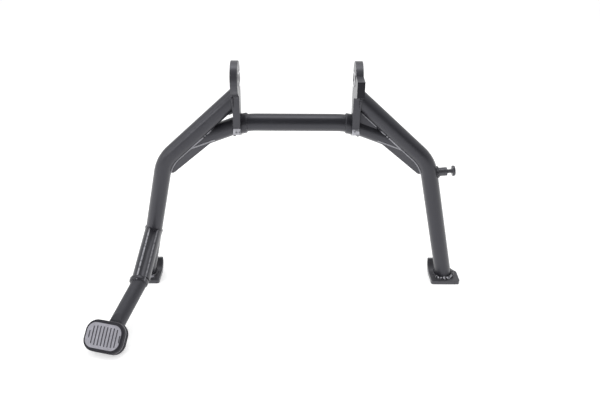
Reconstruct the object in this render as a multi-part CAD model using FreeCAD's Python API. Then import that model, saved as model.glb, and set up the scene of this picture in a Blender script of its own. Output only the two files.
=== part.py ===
# Motorcycle centre stand, in millimetres.
# The origin is on the pivot axis, midway between the two lugs. +X points to the side away from
# the foot pedal, +Y points away from the pedal, and +Z points up. The stand is modelled as it
# stands on its two soles and its pedal pad.
import FreeCAD, Part
import math
import os

from FreeCAD import Vector as V

# Steel tube
tube_od = 25.0
tube_wall = 3.0
bend_radius = 60.0

# Stance
pivot_height = 333.0
leg_plane_y = 11.0
leg_top_z = -32.5
leg_knee_x = 193.5
leg_knee_z = -128.0
leg_foot_x = 240.0

# Cross tube
cross_y = 19.0
cross_z = -70.5
cross_bend_start = 58.0
cross_drop_deg = 21.0
cross_bend_radius = 90.0
cross_reach = 96.0

# Pivot lugs
lug_gap = 158.0
lug_thick = 10.0
lug_head_radius = 24.0
lug_front_y = -1.0
lug_step_z = -4.0
lug_eye_rim = 2.5
lug_fillet = 5.0
lug_toe_below = 2.5
lug_toe_reach = 8.0
lug_toe_fall = 5.0
lug_toe_lip = 1.0
nose_reach = 22.0
nose_top_z = 10.0
nose_height = 22.0
nose_fillet = 1.5

# Pivot bushes
bush_od = 22.0
bush_bore = 16.0
bush_proud = 1.5
bush_chamfer = 0.6

# Collars on the cross tube
collar_wall = 2.0
collar_width = 8.0
collar_fillet = 1.0

# Gusset plates
gusset_thick = 5.0
gusset_start_x = 108.0
gusset_start_below = 15.5
gusset_tip_inward = 13.0
gusset_tip_below = 19.0
gusset_tip_radius = 6.0

# Foot plates
sole_thick = 6.0
sole_width = 45.0
sole_inner_reach = 23.5
sole_toe_y = -10.0
sole_flat = 24.0
sole_rocker_radius = 25.0
sole_rocker_deg = 77.0
sole_side = 27.0
sole_tail_width = 16.0
sole_corner = 4.0

# Pedal lever
stub_od = 26.0
stub_wall = 3.0
stub_start = 5.0
stub_root_height = 92.0
stub_run_x = -6.2
stub_run_y = -91.0
stub_run_z = -37.6
stub_groove_radius = 14.0
stub_groove_depth = 6.0
stub_ridge_fillet = 1.5
stub_ring_od = 28.5
stub_ring_width = 8.0
stub_ring_fillet = 1.0
lever_od = 22.0
lever_wall = 2.5
lever_seat_x = 3.0
lever_seat_y = 4.0
lever_overrun = 12.0
lever_end_wall = 3.0

# Pedal plate and pad
plate_thick = 4.0
pad_length = 56.5
pad_height = 43.5
pad_corner = 16.5
pad_thick = 17.0
pad_skin = 4.0
pad_edge = 3.0
pad_run_x = -31.7
pad_run_y = -79.0
pad_elevation_deg = 45.0
pad_azimuth_deg = 11.5
pad_roll_deg = 2.5
groove_pitch = 4.85
groove_width = 2.2
groove_depth = 1.6
groove_slant_deg = -2.0
groove_side_margin = 4.0
groove_end_margin = 8.5
groove_field_power = 3

# Spring post on the far leg
boss_od = 13.0
boss_length = 13.5
post_z = -146.0
post_rise_deg = 5.5
neck_od = 7.0
neck_waist_od = 5.8
neck_length = 7.5
head_od = 14.0
head_thick = 4.5
head_bulge = 1.0
post_tenon = 8.0

tube_radius = tube_od / 2
tube_bore = tube_radius - tube_wall
floor_z = -pivot_height
sole_inner_x = leg_foot_x - sole_inner_reach
lug_inner_x = lug_gap / 2
lug_outer_x = lug_inner_x + lug_thick
eye_radius = tube_radius + lug_eye_rim
right = 1
left = -1


def bent_path(points, radius):
    """Straight runs through the points, joined by tangent arcs."""
    edges = []
    start = points[0]
    for before, corner, after in zip(points, points[1:], points[2:]):
        into = (corner - before).normalize()
        out = (after - corner).normalize()
        half_turn = into.getAngle(out) / 2
        setback = radius * math.tan(half_turn)
        arc_start = corner - into * setback
        arc_end = corner + out * setback
        inward = (out - into).normalize()
        arc_middle = corner + inward * (radius / math.cos(half_turn) - radius)
        edges.append(Part.LineSegment(start, arc_start).toShape())
        edges.append(Part.Arc(arc_start, arc_middle, arc_end).toShape())
        start = arc_end
    edges.append(Part.LineSegment(start, points[-1]).toShape())
    return Part.Wire(edges)


def bar_along(path, radius):
    """A round bar whose centre line is the path."""
    first = path.Edges[0]
    start = first.valueAt(first.FirstParameter)
    direction = first.tangentAt(first.FirstParameter)
    ring = Part.Wire(Part.makeCircle(radius, start, direction))
    return path.makePipeShell([ring], True, False)


def pipe_along(path, outer, inner):
    return bar_along(path, outer).cut(bar_along(path, inner))


def mirrored(shape, side):
    """The same piece on the left or the right of the stand."""
    if side == right:
        return shape
    return shape.mirror(V(0, 0, 0), V(1, 0, 0))


def slab_x(outline, x_low, x_high):
    """A plate cut from an outline of points in the YZ plane."""
    points = [V(x_low, y, z) for y, z in outline]
    face = Part.Face(Part.makePolygon(points + points[:1]))
    return face.extrude(V(x_high - x_low, 0, 0))


def disc_x(radius, y, z, x_low, x_high):
    return Part.makeCylinder(radius, x_high - x_low, V(x_low, y, z), V(1, 0, 0))


def round_edges_along(shape, direction, places, radius):
    """Rounds the edges that run along a direction through the given (y, z) places."""
    chosen = []
    for edge in shape.Edges:
        if edge.Curve.TypeId != "Part::GeomLine":
            continue
        if abs(abs(edge.Curve.Direction.dot(direction)) - 1) > 1e-6:
            continue
        middle = edge.valueAt((edge.FirstParameter + edge.LastParameter) / 2)
        if any(math.hypot(middle.y - y, middle.z - z) < 0.5 for y, z in places):
            chosen.append(edge)
    return shape.makeFillet(radius, chosen)


def leg_points():
    """Centre line of the right leg, from inside its lug to below its sole."""
    knee = V(leg_knee_x, leg_plane_y, leg_knee_z)
    top = V(lug_outer_x, leg_plane_y, leg_top_z)
    foot = V(leg_foot_x, leg_plane_y, floor_z)
    above = top - (knee - top).normalize() * tube_od
    below = foot + (foot - knee).normalize() * tube_od
    return above, knee, below


def leg_bar(radius):
    return bar_along(bent_path(leg_points(), bend_radius), radius)


def cross_path():
    """Centre line of the cross tube: a straight middle whose ends drop towards the legs."""
    drop = math.radians(cross_drop_deg)
    setback = cross_bend_radius * math.tan(drop / 2)
    corner_x = cross_bend_start + setback
    end_x = corner_x + cross_reach * math.cos(drop)
    end_z = cross_z - cross_reach * math.sin(drop)
    points = [
        V(-end_x, cross_y, end_z),
        V(-corner_x, cross_y, cross_z),
        V(corner_x, cross_y, cross_z),
        V(end_x, cross_y, end_z),
    ]
    return bent_path(points, cross_bend_radius)


def cross_at(x):
    """Centre and direction of the cross tube's centre line at a distance from the middle."""
    drop = math.radians(cross_drop_deg)
    turn = min(math.asin((x - cross_bend_start) / cross_bend_radius), drop)
    z = cross_z - cross_bend_radius * (1 - math.cos(turn))
    return V(x, cross_y, z), V(math.cos(turn), 0, -math.sin(turn))


def sole_profile(thickness):
    """Side view of the sole from its underside upwards, a flat toe and a tail that curls up."""
    flat_end = sole_toe_y + sole_flat
    centre_z = floor_z + sole_rocker_radius
    under = sole_rocker_radius
    upper = sole_rocker_radius - thickness
    sweep = math.radians(sole_rocker_deg)

    def on_curl(radius, angle):
        return V(0, flat_end + radius * math.sin(angle), centre_z - radius * math.cos(angle))

    toe_low = V(0, sole_toe_y, floor_z)
    toe_high = V(0, sole_toe_y, floor_z + thickness)
    edges = [
        Part.LineSegment(toe_low, on_curl(under, 0)).toShape(),
        Part.Arc(on_curl(under, 0), on_curl(under, sweep / 2), on_curl(under, sweep)).toShape(),
        Part.LineSegment(on_curl(under, sweep), on_curl(upper, sweep)).toShape(),
        Part.Arc(on_curl(upper, sweep), on_curl(upper, sweep / 2), on_curl(upper, 0)).toShape(),
        Part.LineSegment(on_curl(upper, 0), toe_high).toShape(),
        Part.LineSegment(toe_high, toe_low).toShape(),
    ]
    return Part.Face(Part.Wire(edges))


def sole_solid():
    """The right foot plate, with its outer rear corner cut away at a slant."""
    bent = sole_profile(sole_thick).extrude(V(sole_width, 0, 0))
    bent.translate(V(sole_inner_x, 0, 0))
    tail_y = sole_toe_y + sole_flat + sole_rocker_radius
    outer_x = sole_inner_x + sole_width
    plan = [
        (sole_inner_x, sole_toe_y),
        (outer_x, sole_toe_y),
        (outer_x, sole_toe_y + sole_side),
        (sole_inner_x + sole_tail_width, tail_y),
        (sole_inner_x, tail_y),
    ]
    corners = [V(x, y, floor_z - sole_thick) for x, y in plan]
    cutter = Part.Face(Part.makePolygon(corners + corners[:1]))
    cutter = cutter.extrude(V(0, 0, sole_rocker_radius + 2 * sole_thick))
    upright = [e for e in cutter.Edges if abs(e.tangentAt(e.FirstParameter).z) > 0.9]
    cutter = cutter.makeFillet(sole_corner, upright)
    return bent.common(cutter)


def leg_tube(side):
    """A leg, cut to the lug's face at its top and to the sole at its foot."""
    leg = pipe_along(bent_path(leg_points(), bend_radius), tube_radius, tube_bore)
    size = 2 * pivot_height
    inside = Part.makeBox(size, size, size, V(lug_outer_x - size, -size / 2, -size / 2))
    below_sole = sole_profile(sole_thick).extrude(V(size, 0, 0))
    flat_end = sole_toe_y + sole_flat
    under_floor = Part.makeBox(size, size, sole_thick + tube_od, V(0, -size / 2, floor_z - tube_od))
    behind = Part.makeCylinder(
        sole_rocker_radius - sole_thick, size, V(0, flat_end, floor_z + sole_rocker_radius), V(1, 0, 0)
    )
    curl_box = Part.makeBox(size, tube_od * 2, sole_rocker_radius, V(0, flat_end, floor_z))
    leg = leg.cut(inside).cut(under_floor).cut(curl_box.cut(behind)).cut(below_sole)
    solids = sorted(leg.Solids, key=lambda s: s.Volume)
    return mirrored(solids[-1], side)


def cross_tube():
    """The cross tube, each end coped to the leg that it runs into."""
    tube = pipe_along(cross_path(), tube_radius, tube_bore)
    for side in (left, right):
        tube = tube.cut(mirrored(leg_bar(tube_radius), side))
    return sorted(tube.Solids, key=lambda s: s.Volume)[-1]


def pivot_lug(side, has_nose):
    """A lug plate: round head, straight neck, and an eye that the cross tube passes through."""
    x_low, x_high = lug_inner_x, lug_outer_x
    head_front = -lug_head_radius
    step_end_z = lug_step_z - (lug_front_y - head_front)
    eye_centre = cross_at((x_low + x_high) / 2)[0]
    toe_top_z = cross_z - lug_toe_below
    toe_y = lug_front_y - lug_toe_reach
    toe_z = toe_top_z - lug_toe_fall
    neck = [
        (head_front, 0),
        (head_front, lug_step_z),
        (lug_front_y, step_end_z),
        (lug_front_y, toe_top_z),
        (toe_y, toe_z),
        (toe_y, toe_z - lug_toe_lip),
        (cross_y, eye_centre.z - eye_radius),
        (lug_head_radius, eye_centre.z),
        (lug_head_radius, 0),
    ]
    lug = disc_x(lug_head_radius, 0, 0, x_low, x_high)
    lug = lug.fuse(slab_x(neck, x_low, x_high))
    lug = lug.fuse(disc_x(eye_radius, cross_y, eye_centre.z, x_low, x_high))
    if has_nose:
        nose_low_z = nose_top_z - nose_height
        nose = [
            (head_front - nose_reach, nose_top_z),
            (0, nose_top_z),
            (0, step_end_z),
            (lug_front_y, step_end_z),
            (head_front - nose_reach, nose_low_z),
        ]
        lug = lug.fuse(slab_x(nose, x_low, x_high))
    lug = lug.removeSplitter()
    places = [(lug_front_y, step_end_z)]
    lug = round_edges_along(lug, V(1, 0, 0), places, lug_fillet)
    if has_nose:
        places = [
            (head_front - nose_reach, nose_top_z),
            (head_front - nose_reach, nose_top_z - nose_height),
        ]
        lug = round_edges_along(lug, V(1, 0, 0), places, nose_fillet)
    lug = lug.cut(disc_x(bush_od / 2, 0, 0, x_low, x_high))
    lug = mirrored(lug, side)
    return lug.cut(bar_along(cross_path(), tube_radius))


def pivot_bush(side):
    """A bush pressed into a lug's head, standing a little proud of both faces."""
    x_low = lug_inner_x - bush_proud
    length = lug_thick + 2 * bush_proud
    bush = Part.makeCylinder(bush_od / 2, length, V(x_low, 0, 0), V(1, 0, 0))
    bush = bush.cut(Part.makeCylinder(bush_bore / 2, length, V(x_low, 0, 0), V(1, 0, 0)))
    rims = [e for e in bush.Edges if abs(e.Length - math.pi * bush_od) < 1e-3]
    return mirrored(bush.makeChamfer(bush_chamfer, rims), side)


def cross_collar(side):
    """A collar on the cross tube, against the inner face of a lug."""
    place, along = cross_at(lug_inner_x - collar_width / 2)
    radius = tube_radius + collar_wall
    length = 2 * collar_width
    collar = Part.makeCylinder(radius, length, place - along * collar_width, along)
    keep = disc_x(2 * radius, cross_y, cross_z, lug_inner_x - collar_width, lug_inner_x)
    collar = collar.common(keep)
    inner_rim = min(
        (e for e in collar.Edges if e.Closed), key=lambda e: e.CenterOfMass.x
    )
    collar = collar.makeFillet(collar_fillet, [inner_rim])
    collar = mirrored(collar, side)
    return collar.cut(bar_along(cross_path(), tube_radius))


def gusset(side):
    """A flat plate in the angle between a leg and the cross tube, trimmed to both."""
    start = V(gusset_start_x, 0, cross_z - gusset_start_below)
    tip = V(leg_knee_x - gusset_tip_inward, 0, leg_knee_z - gusset_tip_below)
    outline = [
        start,
        tip,
        V(leg_knee_x, 0, tip.z),
        V(leg_knee_x, 0, leg_knee_z),
        V(gusset_start_x + tube_radius, 0, cross_z - tube_radius),
    ]
    plate = Part.Face(Part.makePolygon(outline + outline[:1])).extrude(V(0, gusset_thick, 0))
    tip_edges = []
    for edge in plate.Edges:
        direction = edge.tangentAt(edge.FirstParameter)
        middle = edge.valueAt((edge.FirstParameter + edge.LastParameter) / 2)
        if abs(direction.y) > 0.9 and (V(middle.x, 0, middle.z) - tip).Length < 0.5:
            tip_edges.append(edge)
    plate = plate.makeFillet(gusset_tip_radius, tip_edges)
    plate.translate(V(0, leg_plane_y - gusset_thick / 2, 0))
    plate = plate.cut(leg_bar(tube_radius)).cut(bar_along(cross_path(), tube_radius))
    return mirrored(sorted(plate.Solids, key=lambda s: s.Volume)[-1], side)


def pad_placement():
    """Turns a pad drawn flat, its tread facing +Z, to where the foot meets it."""
    roll = FreeCAD.Rotation(V(0, 0, 1), -pad_roll_deg)
    lift = FreeCAD.Rotation(V(1, 0, 0), 90 - pad_elevation_deg)
    turn = FreeCAD.Rotation(V(0, 0, 1), -pad_azimuth_deg)
    return FreeCAD.Placement(V(0, 0, 0), turn * lift * roll)


def rounded_slab(length, height, corner, thick):
    """A flat block standing on Z = 0, its four upright edges rounded."""
    slab = Part.makeBox(length, height, thick, V(-length / 2, -height / 2, 0))
    upright = [e for e in slab.Edges if abs(e.tangentAt(e.FirstParameter).z) > 0.9]
    return slab.makeFillet(corner, upright)


def obround(length, height, thick, z_low):
    """A flat bar with half-round ends, its long side along X."""
    radius = height / 2
    span = (length - height) / 2
    edges = [
        Part.LineSegment(V(-span, -radius, z_low), V(span, -radius, z_low)).toShape(),
        Part.Arc(V(span, -radius, z_low), V(span + radius, 0, z_low), V(span, radius, z_low)).toShape(),
        Part.LineSegment(V(span, radius, z_low), V(-span, radius, z_low)).toShape(),
        Part.Arc(V(-span, radius, z_low), V(-span - radius, 0, z_low), V(-span, -radius, z_low)).toShape(),
    ]
    return Part.Face(Part.Wire(edges)).extrude(V(0, 0, thick))


def pad_body():
    """The rubber pad drawn flat: a rounded block with slanted grooves across its tread."""
    body = rounded_slab(pad_length, pad_height, pad_corner, pad_thick)
    rims = [e for e in body.Edges if e.BoundBox.ZMin > pad_thick - 0.01]
    body = body.makeFillet(pad_edge, rims)
    field = pad_length / 2 - groove_side_margin
    reach = pad_height / 2 - groove_end_margin
    pairs = math.floor((field - groove_width / 2) / groove_pitch + 0.5)
    for n in range(-pairs, pairs):
        x = (n + 0.5) * groove_pitch
        half = reach * math.sqrt(1 - abs(x / field) ** groove_field_power)
        groove = obround(2 * half, groove_width, groove_depth, 0)
        groove.rotate(V(0, 0, 0), V(0, 0, 1), 90 - groove_slant_deg)
        groove.translate(V(x, 0, pad_thick - groove_depth))
        body = body.cut(groove)
    return body


def pad_place():
    """The shift that puts the turned pad beyond the stub, with its lowest edge on the floor."""
    end = stub_points()[1]
    turned = pad_body()
    turned.Placement = pad_placement()
    lift = floor_z - turned.BoundBox.ZMin
    return V(end.x + pad_run_x, end.y + pad_run_y, lift)


def placed_on_pad(shape, shift):
    placed = shape.copy()
    placed.Placement = pad_placement()
    placed.translate(shift)
    return placed


def pedal_plate_flat():
    length = pad_length - 2 * pad_skin
    height = pad_height - 2 * pad_skin
    return rounded_slab(length, height, pad_corner - pad_skin, plate_thick)


def pedal_pad(shift):
    """The pad, hollowed at its back for the plate that carries it."""
    return placed_on_pad(pad_body().cut(pedal_plate_flat()), shift)


def stub_points():
    """The stub's centre line, from the near leg's centre line to where the lever joins it."""
    root_z = floor_z + stub_root_height
    share = (root_z - leg_knee_z) / (floor_z - leg_knee_z)
    root_x = -(leg_knee_x + (leg_foot_x - leg_knee_x) * share)
    root = V(root_x, leg_plane_y, root_z)
    return root, root + V(stub_run_x, stub_run_y, stub_run_z)


def stub_along_z(length):
    """The stub drawn along Z, its long pressed groove facing +Y, with a ring at its far end."""
    radius = stub_od / 2
    bore = radius - stub_wall
    groove_y = radius + stub_groove_radius - stub_groove_depth
    ring_z = length - stub_ring_width
    inner_groove = stub_groove_radius + stub_wall
    groove = Part.makeCylinder(stub_groove_radius, ring_z, V(0, groove_y, 0))
    body = Part.makeCylinder(radius, length - stub_start, V(0, 0, stub_start)).cut(groove)
    ridges = [
        e for e in body.Edges
        if e.Curve.TypeId == "Part::GeomLine" and e.CenterOfMass.y > 0 and abs(e.CenterOfMass.x) > 1
    ]
    ridges = [e for e in ridges if abs(e.tangentAt(e.FirstParameter).z) > 0.9]
    body = body.makeFillet(stub_ridge_fillet, ridges)
    ring = Part.makeCylinder(stub_ring_od / 2, stub_ring_width, V(0, 0, ring_z))
    rims = [e for e in ring.Edges if e.Closed and e.Curve.TypeId == "Part::GeomCircle"]
    ring = ring.makeFillet(stub_ring_fillet, rims)
    hollow = Part.makeCylinder(bore, length, V(0, 0, 0))
    pressed = Part.makeCylinder(inner_groove, ring_z + stub_wall, V(0, groove_y, 0))
    return body.fuse(ring).cut(hollow.cut(pressed))


def lever_stub():
    """The pressed tube stub that stands out from the near leg, coped round it."""
    root, end = stub_points()
    along = end - root
    forward = V(along).normalize()
    upward = (V(0, 0, 1) - forward * forward.z).normalize()
    turn = FreeCAD.Rotation(upward.cross(forward), upward, forward, "ZYX")
    stub = stub_along_z(along.Length)
    stub.Placement = FreeCAD.Placement(root, turn)
    stub = stub.cut(mirrored(leg_bar(tube_radius), left))
    return sorted(stub.Solids, key=lambda s: s.Volume)[-1]


def lever_points(shift):
    """Centre line of the lever, from inside the stub to the pedal plate's back."""
    root, end = stub_points()
    placement = pad_placement()
    normal = placement.Rotation.multVec(V(0, 0, 1))
    back = shift + placement.Rotation.multVec(V(lever_seat_x, lever_seat_y, 0))
    return root, end, back, normal


def lever_tube(shift):
    """The lever, mitred to the stub, closed at its foot and cut slantwise to the plate's back."""
    root, end, back, normal = lever_points(shift)
    along = (back - end).normalize()
    extra = lever_od
    start = end - along * extra
    length = extra + (back - end).Length + lever_overrun
    block = 4 * lever_od
    end_wall = Part.makeCylinder(block, block, shift - normal * lever_end_wall, normal)
    outer = Part.makeCylinder(lever_od / 2, length, start, along)
    inner = Part.makeCylinder(lever_od / 2 - lever_wall, length - lever_end_wall, start, along)
    tube = outer.cut(inner.cut(end_wall))
    stub_axis = (end - root).normalize()
    rear = Part.makeCylinder(block, block, end - stub_axis * block, stub_axis)
    front = Part.makeCylinder(block, block, shift, normal)
    tube = tube.cut(rear).cut(front)
    return sorted(tube.Solids, key=lambda s: s.Volume)[-1]


def post_axis():
    rise = math.radians(post_rise_deg)
    share = (leg_knee_z - post_z) / (leg_knee_z - floor_z)
    x = leg_knee_x + (leg_foot_x - leg_knee_x) * share
    return V(x, leg_plane_y, post_z), V(math.cos(rise), 0, math.sin(rise))


def spring_boss():
    """The boss welded to the far leg, drilled for the spring post."""
    root, along = post_axis()
    boss = Part.makeCylinder(boss_od / 2, tube_radius + boss_length, root, along)
    boss = boss.cut(leg_bar(tube_radius))
    boss = sorted(boss.Solids, key=lambda s: s.Volume)[-1]
    hole_start = root + along * (tube_radius + boss_length - post_tenon)
    return boss.cut(Part.makeCylinder(neck_od / 2, post_tenon, hole_start, along))


def spring_post():
    """The post that holds the return springs: tenon, waisted neck and round head."""
    root, along = post_axis()
    start = root + along * (tube_radius + boss_length - post_tenon)
    neck_end = post_tenon + neck_length
    head_radius = head_od / 2
    neck_radius = neck_od / 2
    head_end = neck_end + head_thick
    edges = [
        Part.LineSegment(V(0, 0, 0), V(neck_radius, 0, 0)).toShape(),
        Part.LineSegment(V(neck_radius, 0, 0), V(neck_radius, 0, post_tenon)).toShape(),
        Part.Arc(
            V(neck_radius, 0, post_tenon),
            V(neck_waist_od / 2, 0, post_tenon + neck_length / 2),
            V(neck_radius, 0, neck_end),
        ).toShape(),
        Part.LineSegment(V(neck_radius, 0, neck_end), V(head_radius, 0, neck_end)).toShape(),
        Part.Arc(
            V(head_radius, 0, neck_end),
            V(head_radius + head_bulge, 0, neck_end + head_thick / 2),
            V(head_radius, 0, head_end),
        ).toShape(),
        Part.LineSegment(V(head_radius, 0, head_end), V(0, 0, head_end)).toShape(),
        Part.LineSegment(V(0, 0, head_end), V(0, 0, 0)).toShape(),
    ]
    post = Part.Face(Part.Wire(edges)).revolve(V(0, 0, 0), V(0, 0, 1), 360)
    post.Placement = FreeCAD.Placement(start, FreeCAD.Rotation(V(0, 0, 1), along))
    return post


def main():
    shift = pad_place()
    nodes = {
        "cross_tube": cross_tube(),
        "leg_tube_left": leg_tube(left),
        "leg_tube_right": leg_tube(right),
        "pivot_lug_left": pivot_lug(left, False),
        "pivot_lug_right": pivot_lug(right, True),
        "pivot_bush_left": pivot_bush(left),
        "pivot_bush_right": pivot_bush(right),
        "cross_collar_left": cross_collar(left),
        "cross_collar_right": cross_collar(right),
        "gusset_left": gusset(left),
        "gusset_right": gusset(right),
        "foot_plate_left": mirrored(sole_solid(), left),
        "foot_plate_right": sole_solid(),
        "lever_stub": lever_stub(),
        "lever_tube": lever_tube(shift),
        "pedal_plate": placed_on_pad(pedal_plate_flat(), shift),
        "pedal_pad": pedal_pad(shift),
        "spring_boss": spring_boss(),
        "spring_post": spring_post(),
    }
    os.makedirs("parts", exist_ok=True)
    for name, shape in nodes.items():
        box = shape.BoundBox
        print(
            f"{name:20s} valid {shape.isValid()} solids {len(shape.Solids)} volume {shape.Volume:9.0f}"
            f"  x {box.XMin:7.1f} {box.XMax:7.1f}  y {box.YMin:7.1f} {box.YMax:7.1f}"
            f"  z {box.ZMin:7.1f} {box.ZMax:7.1f}"
        )
        shape.exportStep(f"parts/{name}.step")


main()
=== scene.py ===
# Looks for a motorcycle centre stand: weld seams, a grooved rubber pedal and powder coated steel.
# Everything is in metres, on the pivot axis, as the stand stands on its soles and pedal.
import bpy
import bmesh
import math
from mathutils import Matrix, Vector


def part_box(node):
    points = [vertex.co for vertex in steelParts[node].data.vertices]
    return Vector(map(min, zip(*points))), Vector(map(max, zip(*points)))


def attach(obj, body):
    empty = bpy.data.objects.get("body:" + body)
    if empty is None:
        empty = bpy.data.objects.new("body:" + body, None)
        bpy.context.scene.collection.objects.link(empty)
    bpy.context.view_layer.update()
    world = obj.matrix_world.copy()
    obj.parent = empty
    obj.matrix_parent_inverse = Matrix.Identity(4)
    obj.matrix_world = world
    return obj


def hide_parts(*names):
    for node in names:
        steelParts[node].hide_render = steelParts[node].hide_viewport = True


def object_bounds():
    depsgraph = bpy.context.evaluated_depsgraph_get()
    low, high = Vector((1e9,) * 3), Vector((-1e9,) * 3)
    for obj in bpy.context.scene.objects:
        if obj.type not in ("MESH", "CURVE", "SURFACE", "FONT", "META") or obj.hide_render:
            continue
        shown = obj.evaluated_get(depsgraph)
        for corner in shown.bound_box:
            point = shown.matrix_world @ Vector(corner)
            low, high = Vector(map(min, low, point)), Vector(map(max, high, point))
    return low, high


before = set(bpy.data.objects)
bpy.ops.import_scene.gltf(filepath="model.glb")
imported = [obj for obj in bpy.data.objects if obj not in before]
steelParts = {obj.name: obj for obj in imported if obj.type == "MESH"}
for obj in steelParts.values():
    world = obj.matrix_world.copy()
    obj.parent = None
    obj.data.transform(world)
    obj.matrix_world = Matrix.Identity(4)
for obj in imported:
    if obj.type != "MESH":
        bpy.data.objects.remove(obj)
cadLow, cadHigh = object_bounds()
scene = bpy.context.scene
print("stand loaded:", len(steelParts), "parts")

mm = 0.001

viewpoint = {
    "place": (-0.0019, -0.8464, 0.2640),
    "pitchDown": 28.05,     # degrees
    "turnRight": 0.541,
    "roll": 0.511,
    "lens": 38.4,           # mm
    "sensor": 36.0,
    "nearest": 10 * mm,
}

studio = {
    "floorTone": 0.86,
    "floorGlow": 0.46,      # what the camera sees on top of the lit floor
    "floorShine": 0.95,     # and what gloss sees
    "floorHalf": 6.0,
    "skyForObject": 0.62,   # strength that lights the stand
    "darkSide": 0.10,       # what gloss sees behind the camera
    "darkTowards": (0.0, -0.94, 0.34),
    "darkRange": (0.25, 0.85),      # how nearly that way the dark begins and is full
}

softBoxes = {   # place, aim and size in metres, then power
    "overheadBox": ((0.0, 0.25, 1.25), (0.0, 0.0, -0.15), (1.6, 1.0), 6.5),
    "overheadStrip": ((0.0, 0.05, 1.25), (0.0, 0.0, -0.15), (0.7, 0.12), 2.6),      # small highlights
    "leftBox": ((-1.3, -0.3, 0.5), (-0.1, 0.0, -0.15), (0.6, 1.2), 4.0),
    "frontLeftBox": ((-0.95, -1.9, 0.0), (-0.14, 0.0, -0.1), (0.25, 0.9), 1.6),
    "lineBox": ((-1.13, -0.93, 0.26), (-0.14, 0.0, -0.08), (0.12, 0.12), 2.8),      # line down the left leg
}


class Wire:  # a socket that takes part in Python sums
    def __init__(self, bench, socket):
        self.bench = bench
        self.socket = socket

    def maths(self, operation, *others):
        return self.bench.add("ShaderNodeMath", {"operation": operation}, [self, *others])

    def flipped(self, operation, other):
        return self.bench.add("ShaderNodeMath", {"operation": operation}, [other, self])

    def __add__(self, other):
        return self.maths("ADD", other)

    def __radd__(self, other):
        return self.flipped("ADD", other)

    def __sub__(self, other):
        return self.maths("SUBTRACT", other)

    def __rsub__(self, other):
        return self.flipped("SUBTRACT", other)

    def __mul__(self, other):
        return self.maths("MULTIPLY", other)

    def __rmul__(self, other):
        return self.flipped("MULTIPLY", other)

    def __truediv__(self, other):
        return self.maths("DIVIDE", other)

    def __pow__(self, other):
        return self.maths("POWER", other)


class Bench:  # builds one node tree, for a material or for geometry
    def __init__(self, tree):
        self.tree = tree

    def add(self, kind, settings=None, inputs=None, output=0):
        node = self.tree.nodes.new(kind)
        for name, value in (settings or {}).items():
            setattr(node, name, value)
        pairs = inputs.items() if isinstance(inputs, dict) else enumerate(inputs or [])
        for key, value in pairs:
            socket = node.inputs[key]
            for one in value if isinstance(value, list) else [value]:   # a join takes a list of wires
                if isinstance(one, Wire):
                    self.tree.links.new(one.socket, socket)
                elif one is not None:
                    socket.default_value = one
        return Wire(self, node.outputs[output]) if len(node.outputs) else node

    def more(self, wire, output):  # another output of the node that a wire leaves
        return Wire(self, wire.socket.node.outputs[output])


def newMaterial(name):
    material = bpy.data.materials.new(name)
    material.use_nodes = True
    material.node_tree.nodes.clear()
    return material, Bench(material.node_tree)


def makeCamera():
    data = bpy.data.cameras.new("viewCamera")
    data.lens = viewpoint["lens"]
    data.sensor_width = viewpoint["sensor"]
    data.clip_start = viewpoint["nearest"]
    camera = bpy.data.objects.new("viewCamera", data)
    scene.collection.objects.link(camera)
    aim = Matrix.Rotation(math.radians(-viewpoint["turnRight"]), 4, "Z")
    aim = aim @ Matrix.Rotation(math.radians(90 - viewpoint["pitchDown"]), 4, "X")
    aim = aim @ Matrix.Rotation(math.radians(viewpoint["roll"]), 4, "Z")
    camera.matrix_world = Matrix.Translation(viewpoint["place"]) @ aim
    scene.camera = camera
    scene.view_settings.view_transform = "Standard"


def seenDirectly(bench):  # 1 for the camera, mirrors and glass, 0 for light that falls on the stand
    path = bench.add("ShaderNodeLightPath", output="Is Camera Ray")
    return path, bench.more(path, "Is Glossy Ray"), bench.more(path, "Is Transmission Ray")


def makeFloor():
    material, bench = newMaterial("whiteSweep")
    camera, gloss, through = seenDirectly(bench)
    lit = bench.add("ShaderNodeBsdfDiffuse", None, {"Color": (*[studio["floorTone"]] * 3, 1)})
    seen = camera.maths("MAXIMUM", through) * studio["floorGlow"] + gloss * studio["floorShine"]
    glow = bench.add("ShaderNodeEmission", None, {"Strength": seen})
    both = bench.add("ShaderNodeAddShader", None, [lit, glow])
    bench.add("ShaderNodeOutputMaterial", None, {"Surface": both})
    mesh = bpy.data.meshes.new("floor")
    half = studio["floorHalf"]
    level = cadLow.z
    corners = [(-half, -half, level), (half, -half, level), (half, half, level), (-half, half, level)]
    mesh.from_pydata(corners, [], [(0, 1, 2, 3)])
    mesh.materials.append(material)
    floor = bpy.data.objects.new("floor", mesh)
    scene.collection.objects.link(floor)


def makeSky():
    world = bpy.data.worlds.new("studioSky")
    scene.world = world
    world.use_nodes = True
    world.node_tree.nodes.clear()
    bench = Bench(world.node_tree)
    camera, gloss, through = seenDirectly(bench)
    around = bench.add("ShaderNodeTexCoord", output="Generated")
    towards = bench.add("ShaderNodeVectorMath", {"operation": "DOT_PRODUCT"}, [
        around, studio["darkTowards"]], "Value")
    begins, full = studio["darkRange"]
    dark = bench.add("ShaderNodeMapRange", {"interpolation_type": "SMOOTHSTEP"}, {
        "Value": towards, "From Min": begins, "From Max": full,
        "To Min": 1.0, "To Max": studio["darkSide"]})
    strength = camera.maths("MAXIMUM", through)
    strength = strength.maths("MAXIMUM", gloss * dark)
    lighting = (1 - camera.maths("MAXIMUM", gloss).maths("MAXIMUM", through)) * studio["skyForObject"]
    surface = bench.add("ShaderNodeBackground", None, {
        "Color": (1, 1, 1, 1), "Strength": strength + lighting})
    bench.add("ShaderNodeOutputWorld", None, {"Surface": surface})


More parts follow.
